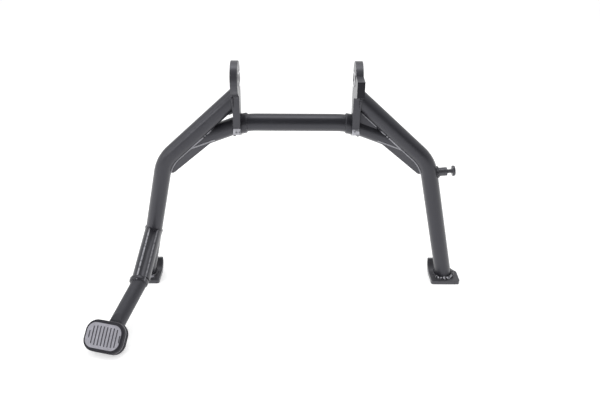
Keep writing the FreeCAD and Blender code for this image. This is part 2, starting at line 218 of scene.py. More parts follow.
def softBox(name, place, aim, size, power):
    data = bpy.data.lights.new(name, "AREA")
    data.shape = "RECTANGLE"
    data.size, data.size_y = size
    data.energy = power
    light = bpy.data.objects.new(name, data)
    scene.collection.objects.link(light)
    light.location = place
    light.rotation_euler = (Vector(aim) - Vector(place)).to_track_quat("-Z", "Y").to_euler()


makeCamera()
makeFloor()
makeSky()
for boxName, (place, aim, size, power) in softBoxes.items():
    softBox(boxName, place, aim, size, power)
print("camera, floor and light set")


leverShape = {
    "stubRadius": 13 * mm,
    "stubRoot": (-219.13 * mm, 11 * mm, -241 * mm),
    "stubEnd": (-225.33 * mm, -80 * mm, -278.6 * mm),
    "grooveRadius": 8 * mm,     # of the groove pressed along the stub's upper side
    "grooveDepth": 4.4 * mm,
    "grooveTurn": 18.0,         # degrees round the stub, towards the right
    "ridgeSoft": 1.6 * mm,
    "stubPast": 4.5 * mm,       # how far the end ring reaches along the lever
    "ringRadius": 13.6 * mm,
    "ringWidth": 6.5 * mm,
    "ringRound": 1.8 * mm,
    "ringOffset": -1.9 * mm,
    "neckDip": 5 * mm,          # the stub dips into the leg over its first part
    "neckReach": 60 * mm,
    "leverRadius": 11 * mm,
    "leverSeat": (3 * mm, 4 * mm),      # on the pad's back
    "leverOverrun": 12 * mm,
    "rootGap": 4 * mm,          # from the root to the stub's first ring, inside the leg
    "ringStep": 2 * mm,
    "around": 144,
    "neckPoints": 72,           # round the seam at the leg, found in small steps along the stub
    "neckSteps": 80,
    "neckStep": 0.5 * mm,
    "seamPoints": 96,           # round the seam at the pedal plate
}

pedalShape = {
    "halfLength": 28.25 * mm,
    "halfHeight": 21.75 * mm,
    "corner": 16.5 * mm,
    "thick": 17 * mm,
    "skin": 4 * mm,             # round and in front of the plate at its back
    "plateHalf": (24 * mm, 17.5 * mm),      # where the lever still meets the steel plate
    "rim": 3 * mm,
    "draft": 0.35 * mm,         # the side wall's pull-in either side of the mould ridge
    "ridgeLevel": 8.6 * mm,
    "ridgeHalfWidth": 0.8 * mm,
    "crown": 0.5 * mm,
    "soft": 0.3 * mm,
    "shift": (-257.03 * mm, -159.0 * mm),
    "elevation": 45.0,
    "azimuth": 11.5,
    "roll": 2.5,
}

coatLook = {
    "tone": (0.0200, 0.0200, 0.0245),
    "lugLitTone": (0.042, 0.042, 0.048),     # painted light: a lighter copy of the black coat on the lugs
    "sheetLitTone": (0.056, 0.056, 0.062),     # painted light: a lighter copy of the black coat on gussets, soles, the spring boss and its post
    "seamHighlightTone": (0.40, 0.40, 0.43),         # painted highlight on the thin seams round the gussets and where the tubes meet
    "dustTone": (0.052, 0.051, 0.056),
    "glossTint": (0.92, 0.92, 1.0, 1.0),
    "peelScale": 620.0,     # orange peel, about a millimetre and a half across
    "peelDepth": 0.035 * mm,
    "cloudScale": 14.0,
    "speckScale": 210.0,
    "dustRange": (0.58, 0.78),      # how high the specks' noise is where dust begins and is full
    "dustMost": 0.35,
    "edgeRadius": 0.7 * mm,
    "edgeRange": (0.99, 0.80),      # how far the rounded edge turns from its face, as a cosine
    "edgeDust": 0.30,
    "cloudRoughness": 0.16,         # what the clouds and the wear add to the roughness
    "wearRoughness": 0.10,
    "roughness": 0.36,
    "plateRoughness": 0.38,
    "mattTone": (0.008, 0.008, 0.010),      # on the front of the right lug's nose
    # painted light: a lighter copy of the black coat on the lever tube
    "leverLitTone": (0.027, 0.027, 0.032),
    "leverRoughness": 0.54,
    "weldRoughness": 0.26,
    "footWeldRoughness": 0.17,
    "glintTone": (0.50, 0.50, 0.54),   # painted highlight: the pale tone of the glints on the stub ridges, lug toes and foot welds
}

glintAndMattShape = {    # where and how strong the painted highlights are, and how matt the right lug's nose front is
    "ridgeReach": 1.6 * mm,
    "ridgeCore": 0.4,       # the share of that reach where the painted highlight is full
    # how strong the painted highlight is on each ridge
    "leftRidge": 0.95,
    "rightRidge": 0.35,
    # painted highlight on the facet at each lug's toe
    "toe": 1.0,
    "toeTop": -73 * mm,
    "toeBack": -1 * mm,
    "toeSoft": 0.5 * mm,
    "fleck": 1.0,           # painted glints on the foot welds
    "fleckScale": 240.0,
    "fleckRange": (0.46, 0.55),
    "fleckBack": 3 * mm,
    "fleckFade": 4 * mm,
    "nose": 0.72,           # how matt the cut front of the right lug's nose is
    "noseRange": (0.9 * mm, 0.3 * mm),      # behind its front face
    "grainRange": (0.25, 0.55),     # how high the specks' noise is where the painted highlight begins and is full
}


def stubFrame():  # where the stub starts, its direction, which way its groove faces, and its length
    root, end = Vector(leverShape["stubRoot"]), Vector(leverShape["stubEnd"])
    forward = (end - root).normalized()
    upward = (Vector((0, 0, 1)) - forward * forward.z).normalized()
    facing = Matrix.Rotation(math.radians(-leverShape["grooveTurn"]), 3, forward) @ upward
    return root, forward, facing, (end - root).length + leverShape["stubPast"]


def grooveAxis():
    return leverShape["stubRadius"] + leverShape["grooveRadius"] - leverShape["grooveDepth"]


def ridgeAngle():
    radius, away = leverShape["stubRadius"], grooveAxis()
    return math.acos((radius ** 2 + away ** 2 - leverShape["grooveRadius"] ** 2) / (2 * radius * away))


def stubRadiusAt(angle):  # the stub's section, measured round from the middle of its groove
    radius, away = leverShape["stubRadius"], grooveAxis()
    under = leverShape["grooveRadius"] ** 2 - (away * math.sin(angle)) ** 2
    if math.cos(angle) < 0 or under <= 0:
        return radius
    dent = away * math.cos(angle) - math.sqrt(under)
    near = max(0.0, 1 - abs(radius - dent) / leverShape["ridgeSoft"])
    return min(radius, dent) - near ** 2 * leverShape["ridgeSoft"] / 4


rubberLook = {
    "tone": (0.021, 0.0205, 0.025),
    # painted highlight along the side wall's mould ridge
    "padRidgeHighlightTone": (0.30, 0.296, 0.32),
    "treadTone": (0.355, 0.35, 0.39),
    # painted shade in the tread's grooves
    "grooveShadeTone": (0.20, 0.195, 0.215),
    "treadCore": (12.9 * mm, 5.25 * mm),    # the paler tread reaches this far round a core
    "treadRound": 11.8 * mm,
    "treadSoft": 0.4 * mm,
    "treadLevel": (13 * mm, 14 * mm),
    "treadPaleness": 0.92,              # how fully the tread top is made paler
    "grooveLevel": 16.0 * mm,
    "grooveFade": (0.4 * mm, -0.3 * mm),
    "ridgeFade": (0.4 * mm, -0.2 * mm),
    "ridgeMost": 0.8,
    "edgeRadius": 0.5 * mm,
    "cloudScale": 95.0,
    "grainScale": 1500.0,
    "grainDepth": 0.05 * mm,
    "roughness": 0.72,
}

bushLook = {
    "tone": (0.56, 0.56, 0.57),
    "stain": (0.38, 0.38, 0.39),
    "lineScale": 900.0,
    "lineDepth": 0.02 * mm,
    "wanderScale": 60.0,
    "roughness": 0.30,
}


def blendTo(bench, value, nothingAt, fullAt, most=1.0, kind="SMOOTHSTEP"):
    return bench.add("ShaderNodeMapRange", {"interpolation_type": kind}, {
        "Value": value, "From Min": nothingAt, "From Max": fullAt, "To Min": 0.0, "To Max": most})


def mixTones(bench, share, first, second):  # a tone is three numbers or a wire
    first, second = (tone if isinstance(tone, Wire) else (*tone, 1) for tone in (first, second))
    return bench.add("ShaderNodeMix", {"data_type": "RGBA"}, {0: share, 6: first, 7: second}, 2)


def cloudy(bench, place, scale, detail):
    return bench.add("ShaderNodeTexNoise", None, {"Vector": place, "Scale": scale, "Detail": detail})


def stubRidgeHighlight(bench, place):  # painted highlights on the two pressed ridges along the lever stub
    root, forward, facing, length = stubFrame()
    fromRoot = bench.add("ShaderNodeVectorMath", {"operation": "SUBTRACT"}, [place, root])
    along = bench.add("ShaderNodeVectorMath", {"operation": "DOT_PRODUCT"}, [fromRoot, forward], "Value")
    left = (1 - along / leverShape["neckReach"]).maths("MAXIMUM", 0.0)
    drop = bench.add("ShaderNodeVectorMath", {"operation": "SCALE"}, {
        "Vector": facing, "Scale": left * left * leverShape["neckDip"]})
    place = bench.add("ShaderNodeVectorMath", {"operation": "ADD"}, [place, drop])
    mask, widest = 0.0, glintAndMattShape["ridgeReach"]
    for turn, most in ((1, glintAndMattShape["leftRidge"]), (-1, glintAndMattShape["rightRidge"])):
        out = Matrix.Rotation(turn * ridgeAngle(), 3, forward) @ facing
        crest = root + out * stubRadiusAt(ridgeAngle())
        away = bench.add("ShaderNodeVectorMath", {"operation": "SUBTRACT"}, [place, crest])
        across = bench.add("ShaderNodeVectorMath", {"operation": "CROSS_PRODUCT"}, [away, forward])
        reach = bench.add("ShaderNodeVectorMath", {"operation": "LENGTH"}, [across], "Value")
        mask = mask + blendTo(bench, reach, widest, widest * glintAndMattShape["ridgeCore"], most)
    return mask


def toeHighlight(bench, place):  # painted highlight on the facet at the foot of each lug's front edge
    upright = bench.add("ShaderNodeSeparateXYZ", None, [place], "Z")
    deep = bench.more(upright, "Y")
    top, back, soft = (glintAndMattShape[k] for k in ("toeTop", "toeBack", "toeSoft"))
    low = blendTo(bench, upright, top + soft, top - soft, glintAndMattShape["toe"])
    return low * blendTo(bench, deep, back + soft, back - soft)


def noseMatt(bench, place):  # a matt, near-black patch on the cut front of the right lug's nose
    front = Vector(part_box("pivot_lug_right")[0]).y
    begins, full = glintAndMattShape["noseRange"]
    deep = bench.add("ShaderNodeSeparateXYZ", None, [place], "Y")
    return blendTo(bench, deep, front + begins, front + full, glintAndMattShape["nose"])


def weldGlints(bench, place):  # painted glints on the fronts of the foot welds
    lumps = cloudy(bench, place, glintAndMattShape["fleckScale"], 1.0)
    deep = bench.add("ShaderNodeSeparateXYZ", None, [place], "Y")
    front = blendTo(bench, deep, glintAndMattShape["fleckBack"], glintAndMattShape["fleckBack"] - glintAndMattShape["fleckFade"])
    return blendTo(bench, lumps, *glintAndMattShape["fleckRange"], glintAndMattShape["fleck"]) * front


def coatedSteel(name, shine, highlightMask=None, base=coatLook["tone"], matt=None):
    material, bench = newMaterial(name)
    place = bench.add("ShaderNodeTexCoord", output="Object")
    broad = cloudy(bench, place, coatLook["cloudScale"], 3.0)
    peel = bench.add("ShaderNodeTexNoise", None, {
        "Vector": place, "Scale": coatLook["peelScale"], "Detail": 2.0, "Roughness": 0.45})
    specks = cloudy(bench, place, coatLook["speckScale"], 4.0)
    rounded = bench.add("ShaderNodeBevel", {"samples": 4}, {"Radius": coatLook["edgeRadius"]})
    faceNormal = bench.add("ShaderNodeNewGeometry", output="Normal")
    turn = bench.add("ShaderNodeVectorMath", {"operation": "DOT_PRODUCT"}, [rounded, faceNormal], "Value")
    edge = blendTo(bench, turn, *coatLook["edgeRange"], 1.0, "LINEAR")
    dust = blendTo(bench, specks, *coatLook["dustRange"], coatLook["dustMost"], "LINEAR")
    wear = (dust * broad + edge * coatLook["edgeDust"]).maths("MINIMUM", 1.0)
    tone = mixTones(bench, wear, base, coatLook["dustTone"])
    # painted highlights, broken up by the specks' noise
    if highlightMask:
        highlightShare = highlightMask(bench, place) * blendTo(bench, specks, *glintAndMattShape["grainRange"])
        tone = mixTones(bench, highlightShare, tone, coatLook["glintTone"])
    rough = shine + (broad - 0.5) * coatLook["cloudRoughness"] + wear * coatLook["wearRoughness"]
    skin = bench.add("ShaderNodeBump", None, {
        "Strength": 0.55, "Distance": coatLook["peelDepth"], "Height": peel, "Normal": rounded})
    surface = bench.add("ShaderNodeBsdfPrincipled", None, {
        "Base Color": tone, "Roughness": rough, "IOR": 1.5, "Specular Tint": coatLook["glossTint"],
        "Normal": skin})
    if matt:
        dull = bench.add("ShaderNodeBsdfDiffuse", None, {
            "Color": (*coatLook["mattTone"], 1), "Normal": skin})
        surface = bench.add("ShaderNodeMixShader", None, {0: matt(bench, place), 1: surface, 2: dull})
    bench.add("ShaderNodeOutputMaterial", None, {"Surface": surface})
    return material


def bushSteel():
    material, bench = newMaterial("turnedBushSteel")
    place = bench.add("ShaderNodeTexCoord", output="Object")
    across = bench.add("ShaderNodeSeparateXYZ", None, [place], "X")
    wander = cloudy(bench, place, bushLook["wanderScale"], 2.0)
    lines = (across * (2 * math.pi * bushLook["lineScale"]) + wander * 4.0).maths("SINE")
    stain = mixTones(bench, wander, bushLook["tone"], bushLook["stain"])
    skin = bench.add("ShaderNodeBump", None, {
        "Strength": 0.25, "Distance": bushLook["lineDepth"], "Height": lines})
    surface = bench.add("ShaderNodeBsdfPrincipled", None, {
        "Base Color": stain, "Metallic": 1.0, "Roughness": bushLook["roughness"] + wander * 0.12,
        "Normal": skin})
    bench.add("ShaderNodeOutputMaterial", None, {"Surface": surface})
    return material


def padRubber():
    material, bench = newMaterial("pedalRubber")
    place = bench.add("ShaderNodeAttribute", {"attribute_name": "padPlace"}, None, "Vector")
    across = bench.add("ShaderNodeSeparateXYZ", None, [place], "X")
    upright, outward = bench.more(across, "Y"), bench.more(across, "Z")
    coreLong, coreHigh = rubberLook["treadCore"]
    pastEnd = (across.maths("ABSOLUTE") - coreLong).maths("MAXIMUM", 0.0)
    pastTop = (upright.maths("ABSOLUTE") - coreHigh).maths("MAXIMUM", 0.0)
    reach = (pastEnd * pastEnd + pastTop * pastTop).maths("SQRT")
    edge, soft = rubberLook["treadRound"], rubberLook["treadSoft"]
    inTread = blendTo(bench, reach, edge + soft, edge - soft)
    onTop = blendTo(bench, outward, *rubberLook["treadLevel"], 1.0, "LINEAR")
    # painted shade: darker in the grooves
    nothing, full = (rubberLook["grooveLevel"] + fade for fade in rubberLook["grooveFade"])
    grooveShade = blendTo(bench, outward, nothing, full)
    cloud = cloudy(bench, place, rubberLook["cloudScale"], 4.0)
    grain = cloudy(bench, place, rubberLook["grainScale"], 3.0)
    treadPaleness = (inTread * onTop * (rubberLook["treadPaleness"] + (cloud - 0.5) * 0.5)).maths("MINIMUM", 1.0)
    treadWithShadedGrooves = mixTones(bench, grooveShade, rubberLook["treadTone"], rubberLook["grooveShadeTone"])
    # painted highlight: a pale line along the side wall's mould ridge
    fromRidge = (outward - pedalShape["ridgeLevel"]).maths("ABSOLUTE")
    nothing, full = (pedalShape["ridgeHalfWidth"] + fade for fade in rubberLook["ridgeFade"])
    padRidgeHighlight = blendTo(bench, fromRidge, nothing, full, rubberLook["ridgeMost"])
    side = mixTones(bench, padRidgeHighlight, rubberLook["tone"], rubberLook["padRidgeHighlightTone"])
    tone = mixTones(bench, treadPaleness, side, treadWithShadedGrooves)
    rounded = bench.add("ShaderNodeBevel", {"samples": 4}, {"Radius": rubberLook["edgeRadius"]})
    skin = bench.add("ShaderNodeBump", None, {
        "Strength": 0.5, "Distance": rubberLook["grainDepth"], "Height": grain + cloud * 0.5,
        "Normal": rounded})
    surface = bench.add("ShaderNodeBsdfPrincipled", None, {
        "Base Color": tone, "Roughness": rubberLook["roughness"] + (cloud - 0.5) * 0.2, "IOR": 1.36,
        "Specular Tint": coatLook["glossTint"], "Normal": skin})
    bench.add("ShaderNodeOutputMaterial", None, {"Surface": surface})
    return material


coat = coatedSteel("blackPowderCoat", coatLook["roughness"])
weldCoat = coatedSteel("coatedWeld", coatLook["weldRoughness"])
footWeldCoat = coatedSteel("footWeldGlints", coatLook["footWeldRoughness"], weldGlints)
stubCoat = coatedSteel("stubRidgeHighlightCoat", coatLook["roughness"], stubRidgeHighlight)
plateCoat = coatedSteel("plateCoat", coatLook["roughness"], None, coatLook["sheetLitTone"])
lugCoat = coatedSteel("lugToeHighlightCoat", coatLook["plateRoughness"], toeHighlight, coatLook["lugLitTone"], noseMatt)
leverCoat = coatedSteel("leverCoat", coatLook["leverRoughness"], None, coatLook["leverLitTone"])
seamHighlightCoat = coatedSteel("paintedSeamHighlight", coatLook["roughness"], None, coatLook["seamHighlightTone"])
turnedCoat = coatedSteel("turnedPostCoat", coatLook["weldRoughness"], None, coatLook["sheetLitTone"])
bushFinish = bushSteel()
rubber = padRubber()


def dress(node, material):
    slots = steelParts[node].material_slots
    for slot in slots:
        slot.material = material
    if not slots:
        steelParts[node].data.materials.append(material)


special = {"pedal_pad": rubber, "lever_stub": stubCoat, "lever_tube": leverCoat}
for side in ("left", "right"):
    special["pivot_bush_" + side] = bushFinish
    special["pivot_lug_" + side] = lugCoat
    special["gusset_" + side] = special["foot_plate_" + side] = plateCoat
special["spring_boss"] = special["spring_post"] = turnedCoat
for part in steelParts:
    dress(part, special.get(part, coat))
print("finishes on the steel")


stand = {   # the tubes' lines, which the welds follow
    "tubeRadius": 12.5 * mm,
    "bendRadius": 60 * mm,
    "legTop": (89 * mm, 11 * mm, -32.5 * mm),
    "legKnee": (193.5 * mm, 11 * mm, -128 * mm),
    "legFoot": (240 * mm, 11 * mm, -333 * mm),
    "crossY": 19 * mm,
    "crossZ": -70.5 * mm,
    "crossBendStart": 58 * mm,
    "crossBendRadius": 90 * mm,
    "crossDrop": 21.0,
    "crossReach": 96 * mm,
    "lugInner": 79 * mm,
    "lugOuter": 89 * mm,
    "collarWide": 8 * mm,
    "legPast": (30 * mm, 20 * mm),      # how far the leg's line runs on at either end
}


def bentLine(points, radius, step=1.5 * mm):  # straight runs and tangent arcs as close points
    points = [Vector(p) for p in points]
    line = [points[0]]
    for before, corner, after in zip(points, points[1:], points[2:]):
        into = (corner - before).normalized()
        out = (after - corner).normalized()
        turn = into.angle(out)
        setback = radius * math.tan(turn / 2)
        centre = corner + (out - into).normalized() * (radius / math.cos(turn / 2))
        spoke = corner - into * setback - centre
        axle = into.cross(out)
        count = max(2, math.ceil(radius * turn / step))
        for n in range(count + 1):
            line.append(centre + Matrix.Rotation(turn * n / count, 3, axle) @ spoke)
    line.append(points[-1])
    fine = []
    for a, b in zip(line, line[1:]):
        count = max(1, math.ceil((b - a).length / step))
        fine += [a.lerp(b, n / count) for n in range(count)]
    return fine + [line[-1]]


def offLine(line, point):  # distance from a point to a line of close points
    best = min(range(len(line)), key=lambda n: (line[n] - point).length_squared)
    nearest = 1e9
    for n in (best - 1, best):
        if 0 <= n < len(line) - 1:
            a, b = line[n], line[n + 1]
            share = max(0, min(1, (point - a).dot(b - a) / (b - a).length_squared))
            nearest = min(nearest, (point - a.lerp(b, share)).length)
    return nearest


legTop, legKnee, legFoot = (Vector(stand[k]) for k in ("legTop", "legKnee", "legFoot"))
legUp = (legTop - legKnee).normalized()
legDown = (legFoot - legKnee).normalized()
pastTop, pastFoot = stand["legPast"]
legLine = bentLine([legTop + legUp * pastTop, legKnee, legFoot + legDown * pastFoot], stand["bendRadius"])

drop = math.radians(stand["crossDrop"])
crossCorner = stand["crossBendStart"] + stand["crossBendRadius"] * math.tan(drop / 2)
crossEnd = Vector((crossCorner + stand["crossReach"] * math.cos(drop), stand["crossY"],
                   stand["crossZ"] - stand["crossReach"] * math.sin(drop)))
crossAlong = Vector((math.cos(drop), 0, -math.sin(drop)))
crossLine = bentLine([(x, stand["crossY"], stand["crossZ"]) for x in (0, crossCorner)] + [crossEnd],
                     stand["crossBendRadius"])


def flip(points):  # the same seam on the left side
    return [Vector((-p.x, p.y, p.z)) for p in points]


def ringAxes(along):
    side = along.cross(Vector((0, 1, 0)) if abs(along.y) < 0.9 else Vector((0, 0, 1))).normalized()
    return side, along.cross(side).normalized()


def tubeRing(centre, along, radius, count=48):
    side, up = ringAxes(along)
    angles = [2 * math.pi * n / count for n in range(count)]
    return [centre + (side * math.cos(a) + up * math.sin(a)) * radius for a in angles]


def ontoLevel(ring, along, x):  # slides a tube's ring along it to one distance from the middle
    return [p + along * ((x - p.x) / along.x) for p in ring]


def ringSeam(centre, along, radius, outward, inside):
    # for each place round a tube, how far out along it the surface of the other piece is
    seam = []
    for start in tubeRing(centre, along, radius):
        low, high = 0.0, outward
        if inside(start):
            for _ in range(28):
                middle = (low + high) / 2
                if inside(start + along * middle):
                    low = middle
                else:
                    high = middle
        seam.append(start + along * low)
    return seam


def crossAt(x):
    turn = min(math.asin(min(1, (x - stand["crossBendStart"]) / stand["crossBendRadius"])), drop)
    bend = stand["crossBendStart"] + stand["crossBendRadius"] * math.sin(drop)
    z = stand["crossZ"] - stand["crossBendRadius"] * (1 - math.cos(turn))
    z -= max(0, x - bend) * math.tan(drop)
    return Vector((x, stand["crossY"], z)), Vector((math.cos(turn), 0, -math.sin(turn)))


footShape = {
    "soleThick": 6 * mm,
    "flatEnd": 14 * mm,
    "rocker": 25 * mm,
}

weldLook = {    # bead radii, by where they run
    "legHead": 2.1 * mm,
    "foot": 3.0 * mm,
    "footOut": 1.4 * mm,    # how far the foot's bead lies out from its tube
    "footPitch": 2.4 * mm,
    "footUnevenness": 0.34,
    "tubeJoint": 2.0 * mm,
    "tubesMeet": 1.5 * mm,
    "collar": 1.2 * mm,
    "gusset": 1.3 * mm,
    "neck": 0.9 * mm,
    "mouth": 1.2 * mm,
    "plate": 1.8 * mm,
    "boss": 2.5 * mm,
    "ripplePitch": 1.5 * mm,
    "rippleLong": 1.15,     # each ripple's half length in pitches
    "core": 0.84,           # the plain bead under the ripples, in bead radii
    "unevenness": 0.16,
    "seed": 7,
    "search": 30 * mm,      # how far along a tube its seam is looked for
}


def aboveSole(point):  # inside the sole plate, seen from above
    upper = footShape["rocker"] - footShape["soleThick"]
    past = point.y - footShape["flatEnd"]
    level = cadLow.z + footShape["soleThick"]
    if 0 < past < upper:
        level = cadLow.z + footShape["rocker"] - math.sqrt(upper ** 2 - past ** 2)
    return point.z < level


def legSeams():
    radius = stand["tubeRadius"]
    lugFace = ontoLevel(tubeRing(legTop, legUp, radius), legUp, stand["lugOuter"])
    start = legFoot - legDown * footShape["soleThick"]
    foot = ringSeam(start, -legDown, radius + weldLook["footOut"], weldLook["search"], aboveSole)
    return [(lugFace, True)], [(foot, True)]


copeShape = {   # the seam where the cross tube meets the leg
    "offLeg": 8 * mm,       # where on the cross tube it is looked for
    "widest": 0.985,        # of the tube's radius
    "sortBack": 45 * mm,    # its points are put in order round a place behind it
}


def crossSeams():
    radius = stand["tubeRadius"]
    rings = []
    for x in (stand["lugOuter"], stand["lugInner"] - stand["collarWide"]):
        middle, along = crossAt(x)
        rings.append((ontoLevel(tubeRing(middle, along, radius), along, x), True))
    eye, collar = rings
    meeting = min(crossLine, key=lambda p: abs(offLine(legLine, p) - copeShape["offLeg"]))
    cope = ringSeam(meeting, -crossAlong, radius, 2 * weldLook["search"],
                    lambda p: offLine(legLine, p) < radius)
    cope = [p for p in cope if abs(p.y - legTop.y) < radius * copeShape["widest"]]
    cope.sort(key=lambda p: math.atan2(p.z - meeting.z, copeShape["sortBack"] - p.y))
    return [eye, (cope, False)], [collar]


def underLeg(y):  # the line along the leg's underside at one depth
    lift = math.sqrt(stand["tubeRadius"] ** 2 - (y - legTop.y) ** 2)
    line = []
    for a, b in zip(legLine, legLine[1:]):
        inward = (b - a).normalized().cross(Vector((0, 1, 0))).normalized()
        inward = inward if inward.x < 0 else -inward
        p = a + inward * lift
        line.append(Vector((p.x, y, p.z)))
    return line


gussetShape = {
    "faces": (8.5 * mm, 13.5 * mm),
    "lowest": -147 * mm,
    "fromLeg": 130 * mm,        # seams along the leg start beyond this x
    "fromCross": 110,           # and those along the cross tube here, in whole millimetres
    "crossCount": 60,           # points, a millimetre apart
    "corner": (108 * mm, -86 * mm),     # x and z where the lower edge starts
    "edgeSlope": 61 / 72.5,
}


def gussetSeams():
    seams = []
    radius = stand["tubeRadius"]
    cornerX, cornerZ = gussetShape["corner"]
    for y in gussetShape["faces"]:
        along = [p for p in underLeg(y) if p.x > gussetShape["fromLeg"] and p.z > gussetShape["lowest"]]
        along = [p for p in along if offLine(crossLine, p) > radius]
        seams.append((along, False))
        sink = math.sqrt(radius ** 2 - (y - stand["crossY"]) ** 2)
        under = []
        for n in range(gussetShape["crossCount"]):
            middle, direction = crossAt((gussetShape["fromCross"] + n) * mm)
            p = middle + Vector((-math.sin(drop), 0, -math.cos(drop))) * sink
            p.y = y
            edge = cornerZ - (p.x - cornerX) * gussetShape["edgeSlope"]
            if offLine(legLine, p) > radius and p.z > edge:
                under.append(p)
        seams.append((under, False))
    return seams


def padTurn():
    lift = Matrix.Rotation(math.radians(90 - pedalShape["elevation"]), 4, "X")
    roll = Matrix.Rotation(math.radians(-pedalShape["roll"]), 4, "Z")
    return Matrix.Rotation(math.radians(-pedalShape["azimuth"]), 4, "Z") @ lift @ roll


def padOutline(inset, level, perCorner=14):  # a rounded rectangle's points, anticlockwise
    points = []
    radius = pedalShape["corner"] - inset
    coreLong = pedalShape["halfLength"] - pedalShape["corner"]
    coreHigh = pedalShape["halfHeight"] - pedalShape["corner"]
    for turn, (side, up) in enumerate(((1, 1), (-1, 1), (-1, -1), (1, -1))):
        for n in range(perCorner + 1):
            angle = math.pi / 2 * (turn + n / perCorner)
            points.append((side * coreLong + radius * math.cos(angle),
                           up * coreHigh + radius * math.sin(angle), level))
    return points


def padRings():  # inset and level of each outline, from the plate's recess round to the tread's middle
    skin, thick, draft, rim = (pedalShape[k] for k in ("skin", "thick", "draft", "rim"))
    ridge, half, crown = (pedalShape[k] for k in ("ridgeLevel", "ridgeHalfWidth", "crown"))
    soft = pedalShape["soft"]
    rings = [(skin, skin), (skin, soft), (skin - soft, 0.0), (soft, 0.0), (0.0, soft)]
    rings += [(draft, ridge - half - soft), (soft / 3, ridge - half), (0.0, ridge - half / 2)]
    rings += [(0.0, ridge + half / 2), (soft / 3, ridge + half), (draft, ridge + half + soft)]
    shoulder = thick - crown - rim
    rimSteps, crownSteps = 8, 6
    for n in range(rimSteps + 1):
        angle = math.pi / 2 * n / rimSteps
        rings.append((draft + rim * (1 - math.cos(angle)), shoulder + rim * math.sin(angle)))
    flatStart = draft + rim
    for n in range(1, crownSteps + 1):
        share = n / crownSteps
        inset = flatStart + (pedalShape["corner"] - flatStart - soft) * share
        rings.append((inset, thick - crown * (1 - share) ** 2))
    return rings


def joinRings(shape, rings):  # joins rings of points into a closed shell with a flat face at either end
    loops = [[shape.verts.new(p) for p in ring] for ring in rings]
    shape.faces.new(loops[0])
    shape.faces.new(loops[-1])
    for inner, outer in zip(loops, loops[1:]):
        for n in range(len(inner)):
            m = (n + 1) % len(inner)
            shape.faces.new((inner[n], inner[m], outer[m], outer[n]))


def keepShape(name, shape):  # makes an object of a finished bmesh
    mesh = bpy.data.meshes.new(name)
    shape.to_mesh(mesh)
    shape.free()
    obj = bpy.data.objects.new(name, mesh)
    scene.collection.objects.link(obj)
    return obj


def smoothSteel(obj, material):
    obj.data.shade_smooth()
    obj.data.set_sharp_from_angle(angle=math.radians(40))
    obj.data.materials.append(material)


def report(obj):
    print(obj.name, "has", sum(len(p.vertices) - 2 for p in obj.data.polygons), "triangles")


def padBlank():  # the pad before its grooves are cut, drawn flat with its tread facing up
    shape = bmesh.new()
    joinRings(shape, [padOutline(inset, level) for inset, level in padRings()])
    bmesh.ops.recalc_face_normals(shape, faces=shape.faces)
    return keepShape("pedalPad", shape)


def leverLine():  # the lever's two ends of its centre line and where the pad's back is
    turn = padTurn()
    drop = min((turn @ Vector(p)).z for inset, level in padRings()[:8] for p in padOutline(inset, level))
    shift = Vector((*pedalShape["shift"], cadLow.z - drop))
    end = Vector(leverShape["stubEnd"])
    seat = shift + turn @ Vector((*leverShape["leverSeat"], 0))
    return end, seat, shift, turn @ Vector((0, 0, 1))


def ontoPlane(ring, along, point, facing):  # slides a tube's ring along it until it lies in a plane
    return [p + along * ((point - p).dot(facing) / along.dot(facing)) for p in ring]


def stubRing(along, count, radiusAt, offset=0.0):
    root, forward, facing, length = stubFrame()
    dip = leverShape["neckDip"] * max(0.0, 1 - along / leverShape["neckReach"]) ** 2
    centre = root + forward * along - facing * dip - forward.cross(facing) * offset
    ring = []
    for n in range(count):
        angle = 2 * math.pi * n / count
        ring.append(centre + Matrix.Rotation(angle, 3, forward) @ facing * radiusAt(angle))
    return ring


def makeStub():  # the pressed stub and the ring at its end, in place of the plain one
    root, forward, facing, length = stubFrame()
    count, start, ringStart = leverShape["around"], leverShape["rootGap"], length - leverShape["ringWidth"]
    steps = math.ceil((ringStart - start) / leverShape["ringStep"])
    places = [start + (ringStart - start) * n / steps for n in range(steps + 1)]
    rings = [stubRing(along, count, stubRadiusAt) for along in places]
    lipRound = leverShape["ringRound"]
    profile = [(math.sin(a), 1 - math.cos(a)) for a in (math.pi / 2 * n / 5 for n in range(6))]
    shoulder = [(ringStart + back * lipRound, side) for side, back in profile]
    lip = [(length - back * lipRound, side) for side, back in reversed(profile)]
    for along, side in shoulder + lip:
        radius = leverShape["ringRadius"] - lipRound * (1 - side)
        rings.append(stubRing(along, count, lambda angle: radius, leverShape["ringOffset"]))
    shape = bmesh.new()
    joinRings(shape, rings)
    bmesh.ops.recalc_face_normals(shape, faces=shape.faces)
    stub = keepShape("leverStub", shape)
    smoothSteel(stub, stubCoat)
    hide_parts("lever_stub")
    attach(stub, "root")
    report(stub)


def neckSeam():  # where the stub's sides leave the leg
    leftLeg = flip(legLine)
    seam = [None] * leverShape["neckPoints"]
    for step in range(leverShape["neckSteps"]):
        for n, p in enumerate(stubRing(step * leverShape["neckStep"], len(seam), stubRadiusAt)):
            if seam[n] is None and offLine(leftLeg, p) > stand["tubeRadius"]:
                seam[n] = p
    return [(seam, True)]


def mouthSeam():
    end, seat, shift, facing = leverLine()
    root, forward, groove, length = stubFrame()
    along = (seat - end).normalized()
    mouth = root + forward * length
    return [(ontoPlane(tubeRing(end, along, leverShape["leverRadius"]), along, mouth, forward), True)]


